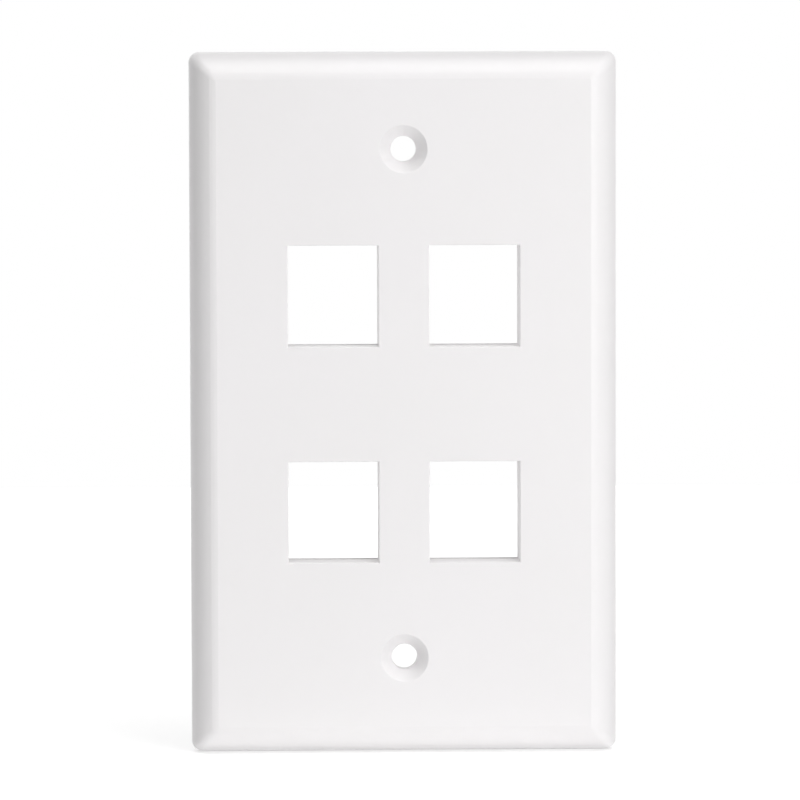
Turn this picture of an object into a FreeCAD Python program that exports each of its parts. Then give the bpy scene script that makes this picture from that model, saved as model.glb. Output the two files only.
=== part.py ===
"""Single-gang wall plate with four keystone ports, moulded in one piece.

The frame is the plate's own: the wall plane that its rear rim rests on is y = 0, the front face
looks along -Y, +X is to the right as seen from the front, and +Z is up. The origin is the centre
of the rim. Sizes are in millimetres and angles in degrees.
"""
import FreeCAD, Part
import os
from math import cos, radians, sin, tan
from FreeCAD import Vector

# The plate: a shallow tray whose edge rolls back from the face to the wall
plate_width = 70.0
plate_height = 115.0
plate_depth = 6.35        # front face to wall plane
face_wall = 2.2
side_wall = 2.0
rim_height = 1.0          # straight part of the edge, next to the wall
crease_radius = 3.6       # softens the crease where the edge leaves the flat face
crease_start = 8.0        # slope where that softening starts, at the border of the face
roll_slope = 26.0         # slope where it ends and the roll down to the rim begins
hollow_radius = 3.2       # in the hollow, between its floor and its sides
side_draft = 3.0
corner_radius = 1.7       # rounds the rim's corners and softens the mitres above them

# The screw holes: countersunk, each backed by a boss
screw_spacing = 83.34
screw_hole_diameter = 4.2
countersink_diameter = 7.8
countersink_angle = 82.0
boss_diameter = 8.6
boss_depth = 4.8          # front face to the end of the boss

# The ports: two columns and two rows of openings, each with a frame behind it
port_columns = 2
port_rows = 2
port_pitch_across = 23.1
port_pitch_up = 35.4
opening_width = 14.8
opening_height = 16.6
mouth_radius = 0.15       # rounding of every hole's edge on the face
frame_depth = 9.9         # front face to the back of the frame
frame_wall = 1.5
frame_corner_radius = 0.8
back_bevel = 0.25         # on the back edges of frames and bosses
base_bevel = 0.4          # where frames and bosses stand on the hollow's floor

# Inside a frame, below the opening: what the jack's fixed hook sits in
hook_lip_depth = 6.5      # front face to the back of the lip
hook_recess = 2.0         # opening's edge to the recess floor
hook_catch_front = 8.1    # front face to the catch
hook_catch_land = 0.4     # flat top of the catch, level with the opening's edge

# Inside a frame, above the opening: what the jack's springy latch snaps behind
latch_lip_depth = 4.0
latch_recess = 4.0
latch_catch_front = 8.2
latch_catch_reach = 2.0   # how far the catch stands out over the recess
latch_catch_land = 0.4
catch_lead_in = 1.2       # how far both catches slope away towards the back

overshoot = 1.0           # how far cutting tools stand clear of what they cut

face_y = -plate_depth
floor_y = face_y + face_wall
frame_back_y = face_y + frame_depth


def roll_profile(half_size, inset, front_y, back_y, bends, to_point):
    """Section across the plate: flat front, rolled edges and drafted sides, closed at back_y.

    Each bend is a radius and the slopes it starts and ends at, from the front outwards. The
    sides are inset from half_size at the wall plane, and to_point(s, y) places the section.
    """
    drop = sum(radius * (cos(radians(start)) - cos(radians(end))) for radius, start, end in bends)
    reach = sum(radius * (sin(radians(end)) - sin(radians(start))) for radius, start, end in bends)
    draft = tan(radians(side_draft))
    roll_end_y = front_y + drop
    roll_end = half_size - inset + roll_end_y * draft
    crease = roll_end - reach
    back = half_size - inset + back_y * draft

    def rolls(side):
        arcs = []
        s, y = crease, front_y
        for radius, start, end in bends:
            on_arc = [(side * (s + radius * (sin(radians(slope)) - sin(radians(start)))),
                       y + radius * (cos(radians(start)) - cos(radians(slope))))
                      for slope in (start, (start + end) / 2, end)]
            arcs.append(Part.Arc(*[to_point(*place) for place in on_arc]).toShape())
            s, y = abs(on_arc[2][0]), on_arc[2][1]
        return arcs

    def line(start, end):
        return Part.LineSegment(to_point(*start), to_point(*end)).toShape()

    return Part.Face(Part.Wire(
        [line((-crease, front_y), (crease, front_y))]
        + rolls(1)
        + [line((roll_end, roll_end_y), (back, back_y)),
           line((back, back_y), (-back, back_y)),
           line((-back, back_y), (-roll_end, roll_end_y))]
        + rolls(-1)[::-1]))


def rolled_block(inset, front_y, back_y, bends):
    """Block with the same rolled edge on all four sides, mitred where the sides meet."""
    across = roll_profile(
        plate_width / 2, inset, front_y, back_y, bends,
        lambda s, y: Vector(s, y, -plate_height / 2))
    upright = roll_profile(
        plate_height / 2, inset, front_y, back_y, bends,
        lambda s, y: Vector(-plate_width / 2, y, s))
    return across.extrude(Vector(0, 0, plate_height)).common(
        upright.extrude(Vector(plate_width, 0, 0)))


def edges_along_y(shape):
    """Edges that leave the plane of the face, straight or curved."""
    return [edge for edge in shape.Edges if abs(edge.tangentAt(edge.FirstParameter).y) > 0.01]


def tray():
    """The plate without ports and screw holes: outer block less the hollow behind the face."""
    rim_slope = 90 - side_draft
    crease_drop = crease_radius * (cos(radians(crease_start)) - cos(radians(roll_slope)))
    roll_radius = ((plate_depth - rim_height - crease_drop)
                   / (cos(radians(roll_slope)) - cos(radians(rim_slope))))
    outer = rolled_block(0, face_y, 0, [
        (crease_radius, crease_start, roll_slope), (roll_radius, roll_slope, rim_slope)])
    outer = outer.makeFillet(corner_radius, edges_along_y(outer))
    inner_radius = min(hollow_radius, 0.9 * abs(floor_y))
    hollow = rolled_block(side_wall, floor_y, overshoot, [(inner_radius, 0, rim_slope)])
    return outer.cut(hollow)


def back_edges(shape):
    """Edges round the back of a frame or boss."""
    back_y = shape.BoundBox.YMax
    return [edge for edge in shape.Edges if edge.BoundBox.YMin > back_y - 0.01]


def port_frame():
    """The frame behind one opening, still solid, centred on the opening."""
    low_z = -opening_height / 2 - hook_recess - frame_wall
    high_z = opening_height / 2 + latch_recess + frame_wall
    half_width = opening_width / 2 + frame_wall
    start_y = face_y + face_wall / 2
    block = Part.makeBox(
        2 * half_width, frame_back_y - start_y, high_z - low_z,
        Vector(-half_width, start_y, low_z))
    block = block.makeFillet(frame_corner_radius, edges_along_y(block))
    return block.makeChamfer(back_bevel, back_edges(block))


def port_cavity():
    """What a port leaves empty: the opening, the hook's recess below and the latch's above."""
    floor_z = -opening_height / 2
    ceiling_z = opening_height / 2
    hook_land_y = face_y + hook_catch_front + hook_catch_land
    latch_land_y = face_y + latch_catch_front + latch_catch_land
    latch_catch_z = ceiling_z + latch_recess - latch_catch_reach
    back_y = frame_back_y + overshoot
    lead_in_slope = catch_lead_in / (frame_back_y - hook_land_y)
    hook_fall = lead_in_slope * (back_y - hook_land_y)
    latch_rise = lead_in_slope * (back_y - latch_land_y)
    section = [
        (face_y - overshoot, floor_z),
        (face_y + hook_lip_depth, floor_z),
        (face_y + hook_lip_depth, floor_z - hook_recess),
        (face_y + hook_catch_front, floor_z - hook_recess),
        (face_y + hook_catch_front, floor_z),
        (hook_land_y, floor_z),
        (back_y, floor_z - hook_fall),
        (back_y, latch_catch_z + latch_rise),
        (latch_land_y, latch_catch_z),
        (face_y + latch_catch_front, latch_catch_z),
        (face_y + latch_catch_front, ceiling_z + latch_recess),
        (face_y + latch_lip_depth, ceiling_z + latch_recess),
        (face_y + latch_lip_depth, ceiling_z),
        (face_y - overshoot, ceiling_z)]
    points = [Vector(-opening_width / 2, y, z) for y, z in section]
    outline = Part.makePolygon(points + points[:1])
    return Part.Face(outline).extrude(Vector(opening_width, 0, 0))


def screw_boss():
    """Boss behind a screw hole, still solid, centred on the hole."""
    start_y = face_y + face_wall / 2
    length = face_y + boss_depth - start_y
    boss = Part.makeCylinder(boss_diameter / 2, length, Vector(0, start_y, 0), Vector(0, 1, 0))
    return boss.makeChamfer(back_bevel, back_edges(boss))


def screw_hole():
    """Cone and bore of a screw hole, cut from in front of the face to behind the boss."""
    rim_radius = countersink_diameter / 2
    bore_radius = screw_hole_diameter / 2
    half_angle = radians(countersink_angle / 2)
    mouth_y = face_y - overshoot
    mouth_r = rim_radius + overshoot * tan(half_angle)
    cone = Part.makeCone(
        mouth_r, bore_radius, (mouth_r - bore_radius) / tan(half_angle),
        Vector(0, mouth_y, 0), Vector(0, 1, 0))
    bore = Part.makeCylinder(
        bore_radius, boss_depth + 2 * overshoot, Vector(0, mouth_y, 0), Vector(0, 1, 0))
    return cone.fuse(bore)


def spread(count, pitch):
    """Places of count things a pitch apart, centred on zero."""
    return [(index - (count - 1) / 2) * pitch for index in range(count)]


def at_each(shape, places):
    return [shape.translated(Vector(x, 0, z)) for x, z in places]


def hole_edges(solid, y):
    """Edges of every hole in the largest flat face that lies at y."""
    flats = [face for face in solid.Faces
             if abs(face.BoundBox.YMin - y) < 0.01 and abs(face.BoundBox.YMax - y) < 0.01]
    face = max(flats, key=lambda flat: flat.Area)
    return [edge for wire in face.Wires if not wire.isSame(face.OuterWire) for edge in wire.Edges]


def faceplate():
    ports = [(x, z) for z in spread(port_rows, port_pitch_up)
             for x in spread(port_columns, port_pitch_across)]
    screws = [(0, z) for z in spread(2, screw_spacing)]
    solid = tray().fuse(at_each(port_frame(), ports) + at_each(screw_boss(), screws))
    solid = solid.makeChamfer(base_bevel, hole_edges(solid, floor_y))
    solid = solid.cut(at_each(port_cavity(), ports) + at_each(screw_hole(), screws))
    solid = solid.removeSplitter()
    return solid.makeFillet(mouth_radius, hole_edges(solid, face_y)).Solids[0]


os.makedirs("parts", exist_ok=True)
plate = faceplate()
plate.exportStep("parts/faceplate.step")
print("faceplate", plate.ShapeType, plate.isValid(), "solids", len(plate.Solids),
      "volume", round(plate.Volume, 1), "box", plate.BoundBox)
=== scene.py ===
import bmesh
import bpy
import math
from mathutils import Matrix, Vector


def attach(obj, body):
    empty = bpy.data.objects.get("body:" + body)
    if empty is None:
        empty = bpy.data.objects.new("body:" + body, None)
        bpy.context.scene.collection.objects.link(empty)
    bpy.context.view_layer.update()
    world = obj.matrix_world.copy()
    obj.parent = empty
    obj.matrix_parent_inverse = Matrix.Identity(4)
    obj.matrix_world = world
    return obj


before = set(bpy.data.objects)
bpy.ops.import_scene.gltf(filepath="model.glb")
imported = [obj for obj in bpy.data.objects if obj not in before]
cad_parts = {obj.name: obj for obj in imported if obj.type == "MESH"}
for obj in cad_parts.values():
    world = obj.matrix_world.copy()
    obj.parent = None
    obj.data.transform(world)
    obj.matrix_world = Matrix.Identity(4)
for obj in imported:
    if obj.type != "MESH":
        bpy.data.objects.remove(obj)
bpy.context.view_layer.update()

scene = bpy.context.scene
scene.view_settings.view_transform = 'Standard'

# ---------------------------------------------------------------------------------------------
# The camera. A long lens stands almost a metre in front of the plate, a little to the left of
# its middle and a little above it, so each opening shows a sliver of its right and lower walls.
camera_left = math.radians(1.6)
camera_up = math.radians(4.1)
camera_distance = 0.95
camera_tilt = math.radians(-0.15)
camera_aim = Vector((-0.000517, 0.0, 0.00027))

towards_camera = Vector((-math.sin(camera_left) * math.cos(camera_up),
                         -math.cos(camera_left) * math.cos(camera_up),
                         math.sin(camera_up)))
camera = bpy.data.objects.new("camera", bpy.data.cameras.new("camera"))
camera.data.sensor_width = 36.0
camera.data.lens = 259.9
camera.data.clip_start = 0.01
camera.matrix_world = (Matrix.Translation(camera_aim + towards_camera * camera_distance)
                       @ (-towards_camera).to_track_quat('-Z', 'Y').to_matrix().to_4x4()
                       @ Matrix.Rotation(camera_tilt, 4, 'Z'))
scene.collection.objects.link(camera)
scene.camera = camera

# ---------------------------------------------------------------------------------------------
# The faceplate. One shot of white ABS in a polished mould: the face and its rolled edge are
# smooth with a soft sheen, and the hollow back was left as the cutter finished the steel.
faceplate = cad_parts["faceplate"]
plate_white = (0.873, 0.857, 0.864, 1.0)
plate_shade = (0.862, 0.848, 0.850, 1.0)
abs_ior = 1.5
most_polished = 0.34      # roughness
least_polished = 0.42
hollow_matt = 0.2         # roughness added in the hollow
hollow_pitted = 0.35
hollow_floor = -0.00415
hollow_half_width = 0.0332
hollow_half_height = 0.0557
finish_border = 0.0001    # half the width over which one finish gives way to the other


def add_node(tree, kind, **settings):
    node = tree.nodes.new(kind)
    for name, value in settings.items():
        setattr(node, name, value)
    return node


def noise(tree, place, scale, detail):
    node = add_node(tree, 'ShaderNodeTexNoise')
    node.inputs["Scale"].default_value = scale
    node.inputs["Detail"].default_value = detail
    tree.links.new(place, node.inputs["Vector"])
    return node.outputs["Fac"]


def spread_over(tree, value, low, high, to_low=0.0, to_high=1.0):
    """The value stretched from low..high to to_low..to_high, and held at those outside."""
    node = add_node(tree, 'ShaderNodeMapRange')
    node.inputs["From Min"].default_value = low
    node.inputs["From Max"].default_value = high
    node.inputs["To Min"].default_value = to_low
    node.inputs["To Max"].default_value = to_high
    tree.links.new(value, node.inputs["Value"])
    return node.outputs["Result"]


def arithmetic(tree, operation, *values):
    node = add_node(tree, 'ShaderNodeMath', operation=operation)
    for socket, value in zip(node.inputs, values):
        if isinstance(value, float):
            socket.default_value = value
        else:
            tree.links.new(value, socket)
    return node.outputs["Value"]


def bump(tree, height, distance, strength, on_top_of=None):
    node = add_node(tree, 'ShaderNodeBump')
    node.inputs["Distance"].default_value = distance
    if isinstance(strength, float):
        node.inputs["Strength"].default_value = strength
    else:
        tree.links.new(strength, node.inputs["Strength"])
    tree.links.new(height, node.inputs["Height"])
    if on_top_of:
        tree.links.new(on_top_of, node.inputs["Normal"])
    return node.outputs["Normal"]


# what moulded ABS looks like close to, on any surface of the plate: Matt makes it rougher, and
# Pitted brings in the pits that sparked steel leaves
moulded_skin = bpy.data.node_groups.new("moulded_skin", 'ShaderNodeTree')
for name, way, kind in (("Matt", 'INPUT', 'NodeSocketFloat'),
                        ("Pitted", 'INPUT', 'NodeSocketFloat'),
                        ("Color", 'OUTPUT', 'NodeSocketColor'),
                        ("Roughness", 'OUTPUT', 'NodeSocketFloat'),
                        ("Normal", 'OUTPUT', 'NodeSocketVector')):
    moulded_skin.interface.new_socket(name, in_out=way, socket_type=kind)
tree = moulded_skin
given = add_node(tree, 'NodeGroupInput').outputs
result = add_node(tree, 'NodeGroupOutput').inputs
place = add_node(tree, 'ShaderNodeTexCoord').outputs["Object"]

# the pigment is a little uneven over a few centimetres
clouds = spread_over(tree, noise(tree, place, scale=28.0, detail=3.0), 0.3, 0.7)
pigment = add_node(tree, 'ShaderNodeMix', data_type='RGBA')
pigment.inputs[6].default_value = plate_white
pigment.inputs[7].default_value = plate_shade
tree.links.new(clouds, pigment.inputs["Factor"])
tree.links.new(pigment.outputs[2], result["Color"])

# the polish varies over a few millimetres
polish = spread_over(tree, noise(tree, place, scale=260.0, detail=4.0), 0.25, 0.75,
                     most_polished, least_polished)
tree.links.new(arithmetic(tree, 'ADD', polish, given["Matt"]), result["Roughness"])

# a faint orange peel, a finer grain on it, and the pits
peel = bump(tree, noise(tree, place, scale=520.0, detail=2.0), distance=0.00004, strength=0.25)
grain = bump(tree, noise(tree, place, scale=3200.0, detail=2.0), distance=0.000015,
             strength=0.25, on_top_of=peel)
pits = bump(tree, spread_over(tree, noise(tree, place, scale=1500.0, detail=3.0), 0.35, 0.6),
            distance=0.00006, strength=given["Pitted"], on_top_of=grain)
tree.links.new(pits, result["Normal"])


def moulded_plastic(name):
    """A material with the moulded skin, and the skin's node in it."""
    material = bpy.data.materials.new(name)
    material.use_nodes = True
    tree = material.node_tree
    shader = tree.nodes["Principled BSDF"]
    shader.inputs["IOR"].default_value = abs_ior
    skin = add_node(tree, 'ShaderNodeGroup', node_tree=moulded_skin)
    tree.links.new(skin.outputs["Color"], shader.inputs["Base Color"])
    tree.links.new(skin.outputs["Roughness"], shader.inputs["Roughness"])
    tree.links.new(skin.outputs["Normal"], shader.inputs["Normal"])
    return material, skin


white_plastic, skin = moulded_plastic("white_plastic")
tree = white_plastic.node_tree
axes = add_node(tree, 'ShaderNodeSeparateXYZ')
tree.links.new(add_node(tree, 'ShaderNodeTexCoord').outputs["Object"], axes.inputs["Vector"])


def within(axis, half_size):
    """One where the axis is nearer the middle than half_size, and zero beyond."""
    return spread_over(white_plastic.node_tree,
                       arithmetic(white_plastic.node_tree, 'ABSOLUTE', axes.outputs[axis]),
                       half_size + finish_border, half_size - finish_border)


# one in the hollow back, from its floor rearwards and within its sides, and zero on the face
behind_floor = spread_over(tree, axes.outputs["Y"], hollow_floor - 0.00035, hollow_floor - 0.00005)
between_sides = arithmetic(tree, 'MULTIPLY', within("X", hollow_half_width),
                           within("Z", hollow_half_height))
in_hollow = arithmetic(tree, 'MULTIPLY', behind_floor, between_sides)
tree.links.new(arithmetic(tree, 'MULTIPLY', in_hollow, hollow_matt), skin.inputs["Matt"])
tree.links.new(arithmetic(tree, 'MULTIPLY', in_hollow, hollow_pitted), skin.inputs["Pitted"])

faceplate.material_slots[0].material = white_plastic

# ---------------------------------------------------------------------------------------------
# The ejector marks. Where the pins that push the plate out of the mould met the hollow's floor,
# each leaves a low round step, as smooth as the pin's ground end, and the gate that fed the
# mould leaves a small stub.
pin_radius = 0.0021
pin_top_radius = 0.0016
pin_step = 0.00025
pin_places = [(x, z) for x in (-0.0256, 0.0256) for z in (-0.0445, -0.0168, 0.0168, 0.0445)]
pin_places += [(x, z) for z in (0.0010, 0.0375, -0.0355) for x in (-0.0120, 0.0120)]
gate_radius = 0.0009
gate_top_radius = 0.0007
gate_height = 0.0004
gate_place = (0.0, 0.0010)


def stud(mesh, place, foot_radius, top_radius, height):
    """A low cone that stands on the hollow's floor at place, half its depth sunk in the wall."""
    x, z = place
    bmesh.ops.create_cone(
        mesh, cap_ends=True, segments=48, radius1=foot_radius, radius2=top_radius,
        depth=2 * height,
        matrix=Matrix.Translation((x, hollow_floor, z)) @ Matrix.Rotation(-math.pi / 2, 4, 'X'))


marks = bmesh.new()
for pin_place in pin_places:
    stud(marks, pin_place, pin_radius, pin_top_radius, pin_step)
stud(marks, gate_place, gate_radius, gate_top_radius, gate_height)
ejector_marks = bpy.data.objects.new("ejector_marks", bpy.data.meshes.new("ejector_marks"))
marks.to_mesh(ejector_marks.data)
marks.free()
scene.collection.objects.link(ejector_marks)
pin_plastic, _ = moulded_plastic("pin_plastic")
ejector_marks.data.materials.append(pin_plastic)
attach(ejector_marks, "root")

# ---------------------------------------------------------------------------------------------
# The table. A sheet of white paper that the plate stands on, bright to the eye and in
# reflections, with the plate's soft shadow on it.
table_height = -0.0575
table_half_size = 0.5
paper_white = (0.8, 0.8, 0.8, 1.0)
paper_glow = 0.4          # seen by the camera only, so it lights nothing

table = bpy.data.objects.new("table", bpy.data.meshes.new("table"))
scene.collection.objects.link(table)
sheet = bmesh.new()
bmesh.ops.create_grid(sheet, x_segments=1, y_segments=1, size=table_half_size,
                      matrix=Matrix.Translation((0.0, 0.0, table_height)))
sheet.to_mesh(table.data)
sheet.free()

paper = bpy.data.materials.new("white_paper")
paper.use_nodes = True
tree = paper.node_tree
tree.nodes.clear()
ray = add_node(tree, 'ShaderNodeLightPath').outputs
lit_paper = add_node(tree, 'ShaderNodeBsdfDiffuse')
lit_paper.inputs["Color"].default_value = paper_white
seen_glow = add_node(tree, 'ShaderNodeEmission')
tree.links.new(arithmetic(tree, 'MULTIPLY', ray["Is Camera Ray"], paper_glow),
               seen_glow.inputs["Strength"])
seen_paper = add_node(tree, 'ShaderNodeAddShader')
tree.links.new(lit_paper.outputs["BSDF"], seen_paper.inputs[0])
tree.links.new(seen_glow.outputs["Emission"], seen_paper.inputs[1])
reflected_paper = add_node(tree, 'ShaderNodeEmission')
either_paper = add_node(tree, 'ShaderNodeMixShader')
tree.links.new(arithmetic(tree, 'MAXIMUM', ray["Is Glossy Ray"], ray["Is Transmission Ray"]),
               either_paper.inputs[0])
tree.links.new(seen_paper.outputs["Shader"], either_paper.inputs[1])
tree.links.new(reflected_paper.outputs["Emission"], either_paper.inputs[2])
paper_out = add_node(tree, 'ShaderNodeOutputMaterial')
tree.links.new(either_paper.outputs["Shader"], paper_out.inputs["Surface"])
paper.cycles.emission_sampling = 'NONE'
table.data.materials.append(paper)

# ---------------------------------------------------------------------------------------------
# The studio. A white room with wide softboxes overhead, smaller ones in front, stronger on the
# right, two behind that light the back and the walls of the openings, and a thin light sheet on
# the table under the plate's front edge.
room_light = 0.02

room = bpy.data.worlds.new("white_room")
scene.world = room
room.use_nodes = True
tree = room.node_tree
walls = tree.nodes["Background"].inputs
walls["Color"].default_value = (1.0, 1.0, 1.0, 1.0)
ray = add_node(tree, 'ShaderNodeLightPath').outputs
mirrored = arithmetic(tree, 'MAXIMUM', ray["Is Glossy Ray"], ray["Is Transmission Ray"])
seen = arithmetic(tree, 'MAXIMUM', ray["Is Camera Ray"], mirrored)
tree.links.new(spread_over(tree, seen, 0.0, 1.0, room_light, 1.0), walls["Strength"])


def softbox(name, right, up, distance, width, height, watts, reflected=True):
    """A rectangular lamp that faces the plate from degrees to the right of and above its front."""
    lamp = bpy.data.lights.new(name, 'AREA')
    lamp.shape = 'RECTANGLE'
    lamp.size = width
    lamp.size_y = height
    lamp.energy = watts
    stand = bpy.data.objects.new(name, lamp)
    stand.visible_camera = False
    stand.visible_glossy = reflected
    across, above = math.radians(right), math.radians(up)
    outwards = Vector((math.sin(across) * math.cos(above), -math.cos(across) * math.cos(above),
                       math.sin(above)))
    stand.location = outwards * distance
    stand.rotation_euler = (-outwards).to_track_quat('-Z', 'Y').to_euler()
    scene.collection.objects.link(stand)
    return stand


softbox("overhead", right=0, up=80, distance=1.2, width=1.2, height=0.9, watts=6.3)
softbox("overhead_right", right=35, up=65, distance=1.2, width=0.7, height=0.7, watts=3.0)
softbox("low_right", right=36, up=1, distance=0.66, width=0.4, height=0.1, watts=1.5,
        reflected=False)
softbox("near_right", right=30, up=8, distance=0.7, width=0.4, height=0.25, watts=0.95)
softbox("front_left", right=-35, up=15, distance=1.2, width=0.5, height=0.8, watts=1.85)
softbox("left", right=-75, up=10, distance=1.2, width=0.5, height=0.9, watts=0.7)
softbox("behind", right=180, up=8, distance=0.9, width=1.2, height=0.9, watts=8.5,
        reflected=False)
softbox("behind_left", right=-125, up=40, distance=1.0, width=0.6, height=0.6, watts=1.0,
        reflected=False)

# the light sheet lies flat and shines upwards, in front of the edge that the plate stands on
light_sheet = softbox("light_sheet", right=0, up=0, distance=0.1, width=0.071, height=0.0128,
                      watts=0.0005)
light_sheet.location = (0.0, -0.0076, table_height + 0.00005)
light_sheet.rotation_euler = (math.pi, 0.0, 0.0)
